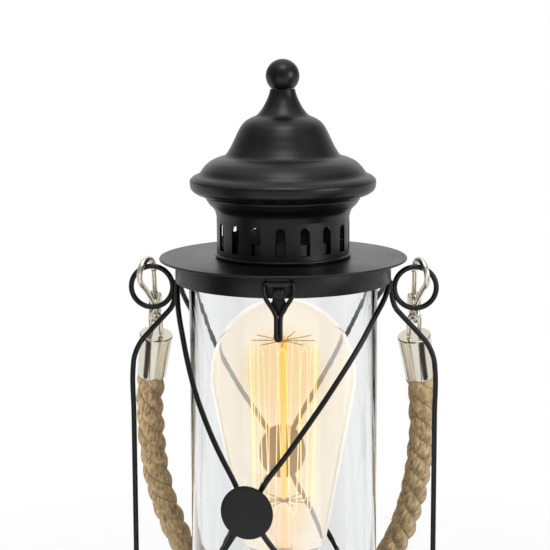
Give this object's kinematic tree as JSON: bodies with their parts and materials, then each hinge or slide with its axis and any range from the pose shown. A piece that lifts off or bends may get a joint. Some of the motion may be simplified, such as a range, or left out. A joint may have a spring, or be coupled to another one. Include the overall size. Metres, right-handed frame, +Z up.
{
  "type": "lantern table lamp",
  "caption": "Lantern table lamp: spun base and bell roof, glass cylinder round a filament bulb, crossed wire cage, hinged lid with clasp and a rope handle on snap hooks.",
  "frame": {"origin": "middle of the underside of the base", "axes": "+Z up along the lamp, -Y towards the front with the clasp, +X towards the right-hand ring"},
  "size_m": [0.14, 0.14, 0.3084],
  "materials": {
    "black_metal": "satin black coating on spun and bent steel",
    "nickel": "polished nickel plate",
    "brass": "plain brass",
    "steel": "zinc-plated steel",
    "clear_glass": "clear, smooth",
    "amber_glass": "clear with a faint amber tint",
    "filament": "glowing carbon-coloured filament",
    "phenolic": "black moulded resin",
    "rubber": "matt black",
    "jute": "twisted natural jute, slightly hairy"
  },
  "bodies": {
    "frame": {"base_pad": "rubber", "ballast_plate": "steel", "base_shell": "black_metal", "cable_grommet": "rubber", "glass_seat": "rubber", "glass_cylinder": "clear_glass", "rim_band": "black_metal", "lower_band": "black_metal", "right_guard_wire": "black_metal", "left_guard_wire": "black_metal", "front_left_wire": "black_metal", "front_right_wire": "black_metal", "rear_left_wire": "black_metal", "rear_right_wire": "black_metal", "front_disc": "black_metal", "rear_disc": "black_metal", "catch_plate": "black_metal", "catch_button": "black_metal", "nipple": "brass", "nipple_nut": "steel", "holder_cup": "black_metal", "holder_body": "phenolic", "holder_shell": "brass", "holder_contact": "brass", "bulb_contact": "brass", "bulb_insulator": "phenolic", "bulb_cap": "brass", "bulb_glass": "amber_glass", "bulb_stem": "amber_glass", "filament": "filament", "upper_filament_support": "steel", "lower_filament_support": "steel", "band_hinge_leaf": "black_metal", "hinge_pin": "steel"},
    "lid": {"lid_plate": "black_metal", "chimney": "black_metal", "roof_dome": "black_metal", "finial_ball": "black_metal", "finial_nut": "steel", "lid_hinge_leaf": "black_metal", "clasp_knuckle": "black_metal"},
    "clasp": {"clasp_wire": "black_metal"},
    "handle": {"right_hook": "nickel", "right_gate_pin": "nickel", "right_staple": "nickel", "right_ferrule": "nickel", "left_hook": "nickel", "left_gate_pin": "nickel", "left_staple": "nickel", "left_ferrule": "nickel", "handle_rope": "jute"},
    "right_gate_arm": {"right_gate": "nickel"},
    "left_gate_arm": {"left_gate": "nickel"}
  },
  "joints": [
    {"name": "lid_hinge", "type": "hinge", "parent": "frame", "child": "lid", "pos_m": [0, 0.0489, 0.2209], "axis": [-1, 0, 0], "range_deg": [0, 105]},
    {"name": "clasp_swing", "type": "hinge", "parent": "lid", "child": "clasp", "pos_m": [0, -0.0489, 0.2209], "axis": [-1, 0, 0], "range_deg": [-7, 80]},
    {"name": "handle_swing", "type": "hinge", "parent": "frame", "child": "handle", "pos_m": [0, 0, 0.21945], "axis": [1, 0, 0], "range_deg": [0, 305]},
    {"name": "right_gate_spring", "type": "hinge", "parent": "handle", "child": "right_gate_arm", "pos_m": [0.05654, 0.00974, 0.20523], "axis": [0.9063, 0.4052, 0.12], "range_deg": [0, 18], "stiffness_Nm_per_rad": 0.02, "springref_deg": -17.19},
    {"name": "left_gate_spring", "type": "hinge", "parent": "handle", "child": "left_gate_arm", "pos_m": [-0.05654, 0.00974, 0.20523], "axis": [0.9063, -0.4052, -0.12], "range_deg": [0, 18], "stiffness_Nm_per_rad": 0.02, "springref_deg": -17.19}
  ]
}
